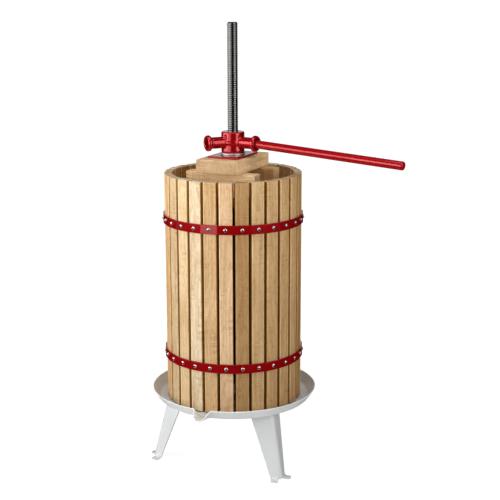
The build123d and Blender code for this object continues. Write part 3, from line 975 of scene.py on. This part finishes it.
for name, node, spin, tone, seed in (("pressPlateLeft", "press_plate_left", pi, "straw", 0.3),
                                     ("pressPlateRight", "press_plate_right", 0, "tan", 0.7)):
    low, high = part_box(node)
    split = min(abs(low.x), abs(high.x))
    hole = halfRound(head["hole"], split, steps=16)
    outline = halfRound(high.y, split, steps=48) + hole[::-1]
    mesh = extruded(name, outline, [(low.z, 0), (high.z, 0)], Matrix.Rotation(spin, 4, "Z"))
    mesh = smoothed(shaped(mesh, broken(head["plateEdge"], segments=2, angle=40)))
    place = Matrix.Translation((low + high) / 2) @ alongY
    addBoard(name, mesh, "stack", node, blockWood, place, tone, seed)

bearing = {
    "corner": 0.005,
    "edge": 0.0019,
    "lowEdge": 0.0004,
    "screw": (0.0105, 0.028),  # from the axis; the other is opposite
    "screwHead": 0.00375,
    "screwEdge": 0.0002,
    "screwShank": 0.002,
    "screwTip": 0.0005,
    "tipLength": 0.004,
    "socketTop": 0.0018,
    "socketFoot": 0.0012,
    "socketDepth": 0.0014,
    "sinkEase": 0.0003,  # round the head
    "shankEase": 0.0002,
}
low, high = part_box("bearing_plate")
levels = [(low.z, bearing["lowEdge"]), (low.z + bearing["lowEdge"], 0)]
for turn in quarterTurns(steps=6):
    levels.append((high.z - bearing["edge"] * (1 - sin(turn)), bearing["edge"] * (1 - cos(turn))))
outline = roundedBox(low.x, high.x, low.y, high.y, bearing["corner"], steps=8)
mesh = boredThrough(extruded("bearing", outline, levels), head["hole"], head["holeLip"], low.z, high.z)
screwX, screwY = bearing["screw"]
screwSpots = [Matrix.Translation((screwX * side, screwY * side, 0)) for side in (-1, 1)]
wide = bearing["screwHead"] + bearing["sinkEase"]
narrow = bearing["screwShank"] + bearing["shankEase"]
sink = [(narrow, low.z - past), (narrow, high.z - wide + narrow), (wide, high.z), (wide, high.z + past)]
for spot in screwSpots:
    mesh = combined(mesh, turned("sink", sink, steps=36, places=[spot]), "DIFFERENCE")
addPiece("bearingPlateRed", mesh, "stack", ["bearing_plate"], sheetPaint)

low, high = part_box("plate_screws")
wide = bearing["screwHead"]
narrow = bearing["screwShank"]
edge = bearing["screwEdge"]
screwProfile = [(bearing["screwTip"], low.z), (narrow, low.z + bearing["tipLength"])]
screwProfile += [(narrow, high.z - wide + narrow), (wide - edge, high.z - edge), (wide - 2 * edge, high.z)]
screwProfile += [(bearing["socketTop"], high.z), (bearing["socketFoot"], high.z - bearing["socketDepth"])]
mesh = turned("bearingScrews", screwProfile, steps=24, places=screwSpots, crease=30)
addPiece("bearingScrews", mesh, "stack", ["plate_screws"], blackOxide)
print("press head made")

# Press nut: a cast boss with a belt and three hollow arms, blended the way sand castings are
nut = {
    "core": 0.004,  # where the rough forms start, inside the bore
    "boss": 0.022,
    "bossEdge": 0.0022,
    "belt": 0.0235,
    "beltHalf": 0.0045,
    "beltSink": 0.002,  # how deep it is set in the boss
    "arms": 3,
    "leverAngle": 81,
    "arm": 0.011,
    "armFrom": 0.002,
    "neck": 0.0104,
    "neckSpan": (0.004, 0.001),  # where the arm narrows to it, before the bead
    "reach": 0.0555,
    "bead": 0.0155,
    "beadLength": 0.009,
    "lip": 0.013,
    "grain": 0.0007,  # size of the blend's cells
    "bore": 0.0101,
    "boreLip": 0.0012,
    "socket": 0.009,
    "socketFrom": 0.0156,
    "mouth": 0.0113,
    "mouthDepth": 0.005,
    "mouthStart": 0.001,  # from the straight socket to the mouth's curve
    "mouthPast": 0.003,
}
low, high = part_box("press_nut")
armHeight = (low.z + high.z) / 2
armAngles = [nut["leverAngle"] + 360 / nut["arms"] * i for i in range(nut["arms"])]
armFrames = [aimFrame(zAxis * armHeight, outward(angle)) for angle in armAngles]

beltRoot = nut["boss"] - nut["beltSink"]
beltLow = armHeight - nut["beltHalf"]
beltProfile = [(nut["core"], beltLow), (beltRoot, beltLow)]
for share in fractions(steps=8):
    turn = pi * (share - 0.5)
    bulge = (nut["belt"] - beltRoot) * cos(turn)
    beltProfile.append((beltRoot + bulge, armHeight + nut["beltHalf"] * sin(turn)))
beltProfile.append((nut["core"], armHeight + nut["beltHalf"]))
beadLow = nut["reach"] - nut["beadLength"]
neckStart, neckEnd = (beadLow - before for before in nut["neckSpan"])
armProfile = [(nut["arm"], nut["armFrom"]), (nut["arm"], neckStart), (nut["neck"], neckEnd)]
for share in fractions(steps=12):
    base = nut["neck"] + (nut["lip"] - nut["neck"]) * share
    radius = base + (nut["bead"] - base) * sin(pi * share)
    armProfile.append((radius, beadLow + nut["beadLength"] * (1 - cos(pi * share)) / 2))
bm = bmesh.new()
lathe(bm, roundedBar(nut["boss"], low.z, high.z, nut["bossEdge"], nut["core"], steps=5), steps=96)
lathe(bm, beltProfile, steps=96)
for armFrame in armFrames:
    lathe(bm, armProfile, steps=72, place=armFrame)
cast = shaped(
    toMesh(bm, "nut"),
    ("REMESH", {"mode": "VOXEL", "voxel_size": nut["grain"]}),
    ("SMOOTH", {"factor": 0.5, "iterations": 14}),
)

wide = nut["bore"] + nut["boreLip"] + past
boreProfile = [(wide, low.z - past), (nut["bore"], low.z + nut["boreLip"])]
boreProfile += [(nut["bore"], high.z - nut["boreLip"]), (wide, high.z + past)]
cast = combined(cast, turned("bore", boreProfile, steps=64), "DIFFERENCE")
mouthFoot = nut["reach"] - nut["mouthDepth"]
flare = nut["mouth"] - nut["socket"]
socketProfile = [(nut["socket"], nut["socketFrom"]), (nut["socket"], mouthFoot - nut["mouthStart"])]
for turn in quarterTurns(steps=7)[1:]:
    radius = nut["socket"] + flare * (1 - cos(turn))
    socketProfile.append((radius, mouthFoot + nut["mouthDepth"] * sin(turn)))
socketProfile.append((nut["mouth"] + past, nut["reach"] + nut["mouthPast"]))
for armFrame in armFrames:
    cast = combined(cast, turned("socket", socketProfile, steps=56, places=[armFrame]), "DIFFERENCE")
addPiece("castPressNut", smoothed(cast, crease=45), "nut", ["press_nut"], castPaint)
print("press nut made:", len(cast.polygons), "faces")

# Lever: a painted bar, drooping a little in its socket
lever = {
    "radius": 0.008,
    "length": 0.347,
    "droop": 2.5,
    "start": 0.0176,
    "pivot": 0.03405,
    "end": 0.003,
    "core": 0.001,  # where the outline of an end starts
}
out = outward(nut["leverAngle"])
leverWay = out * cos(radians(lever["droop"])) - zAxis * sin(radians(lever["droop"]))
leverFoot = out * lever["pivot"] + zAxis * armHeight - leverWay * (lever["pivot"] - lever["start"])
place = aimFrame(leverFoot, leverWay)
profile = roundedBar(lever["radius"], 0, lever["length"], lever["end"], lever["core"], steps=6)
mesh = turned("leverBar", profile, steps=48, places=[place])
addPiece("leverBar", mesh, "lever", ["lever"], leverPaint, place)
print("lever made")

# Floor, light and camera
view = {
    "azimuth": 26.3,
    "distance": 2.2964,
    "height": 0.9569,
    "yaw": 0.8,
    "tilt": 13.13,
    "roll": -0.12,
    "lens": 87.43,
    "sensor": 36,
}
studio = {
    "roomRadius": 40,
    "roomHeight": 30,
    "floorColour": (0.3, 0.3, 0.3),
    "floorStain": (0.985, 0.985, 0.985),
    "floorScale": 3,
    "floorRoughness": 0.9,
    "floorShine": 0.1,
    "floorGlow": (0.86, 1.0),  # near the press and away from it
    "glowFrom": (0.3, 1.2),
    "bounce": 0.68,  # light thrown back from below, most of it from the front
    "bounceAside": -30,
    "bounceDip": 60,
    "bounceSpan": (0, 0.7),  # cosines off its brightest way, where it starts and is full
    "sky": 0.15,
    "softboxes": {  # angle from the camera's side, distance, height, width, height, watts
        "keyBox": (-41, 2.0, 0.69, 1.22, 1.33, 10),
        "leftBox": (-80, 2.0, 0.95, 2.0, 1.3, 34),
        "sideBox": (47, 2.4, 1.7, 2.1, 1.6, 28.5),
        "stripBox": (52, 2.4, 0.5, 1.7, 0.5, 10),
        "topBox": (-20, 0.6, 2.6, 1.5, 1.5, 19),
        "backBox": (180, 2.5, 1.3, 1.7, 0.7, 2.6),
    },
}
white = (1, 1, 1, 1)

wall = [(studio["roomRadius"], 0), (studio["roomRadius"], studio["roomHeight"])]
room = turned("studioFloor", wall, steps=96)
floor = bpy.data.objects.new("studioFloor", room)  # with far white walls
scene.collection.objects.link(floor)
material, tree, shader = newMaterial("paleFloor")
spot = addNode(tree, "TexCoord", {}).outputs["Object"]
cloud = noiseAt(tree, spot, studio["floorScale"], detail=2)
reach = addNode(tree, "VectorMath", {0: spot}, operation="LENGTH").outputs["Value"]
feed(tree, shader, {
    "Base Color": stained(tree, (*studio["floorColour"], 1), cloud, studio["floorStain"]),
    "Roughness": studio["floorRoughness"],
    "Specular IOR Level": studio["floorShine"],
    "Emission Color": white,
    "Emission Strength": ranged(tree, reach, *studio["glowFrom"], *studio["floorGlow"]),
})
floor.data.materials.append(material)
floor.visible_diffuse = False  # seen by the camera only; the sky lights the press through it
floor.visible_glossy = False
floor.visible_shadow = False

world = bpy.data.worlds.new("studioSky")
world.use_nodes = True
tree = world.node_tree
direction = addNode(tree, "TexCoord", {}).outputs["Generated"]
dip = radians(studio["bounceDip"])
brightest = outward(view["azimuth"] + studio["bounceAside"]) * cos(dip) - zAxis * sin(dip)
nearness = addNode(tree, "VectorMath", {0: direction, 1: brightest}, operation="DOT_PRODUCT")
strength = ranged(tree, nearness.outputs["Value"], *studio["bounceSpan"], studio["sky"], studio["bounce"])
feed(tree, tree.nodes["Background"], {"Color": white, "Strength": strength})
world.cycles_visibility.glossy = False  # gloss mirrors the softboxes alone
scene.world = world
scene.view_settings.view_transform = "Standard"

middle = (cadBox[0] + cadBox[1]) / 2
for name, (aside, distance, height, width, tall, watts) in studio["softboxes"].items():
    lamp = bpy.data.lights.new(name, "AREA")
    lamp.shape = "RECTANGLE"
    lamp.size = width
    lamp.size_y = tall
    lamp.energy = watts
    box = bpy.data.objects.new(name, lamp)
    box.location = outward(view["azimuth"] + aside) * distance + zAxis * height
    facing = middle - box.location if name == "topBox" else -outward(view["azimuth"] + aside)
    box.rotation_euler = facing.to_track_quat("-Z", "Y").to_euler()
    box.visible_camera = False
    scene.collection.objects.link(box)

away = -outward(view["azimuth"])
right = away.cross(zAxis)
yaw = radians(view["yaw"])
tilt = radians(view["tilt"])
gaze = (right * sin(yaw) + away * cos(yaw)) * cos(tilt) - zAxis * sin(tilt)
lens = bpy.data.cameras.new("photoCamera")
lens.lens = view["lens"]
lens.sensor_width = view["sensor"]
lens.sensor_fit = "HORIZONTAL"
camera = bpy.data.objects.new("photoCamera", lens)
camera.location = outward(view["azimuth"]) * view["distance"] + zAxis * view["height"]
level = gaze.to_track_quat("-Z", "Y")
camera.rotation_euler = (level @ Quaternion((0, 0, 1), radians(view["roll"]))).to_euler()
scene.collection.objects.link(camera)
scene.camera = camera
print("studio set")
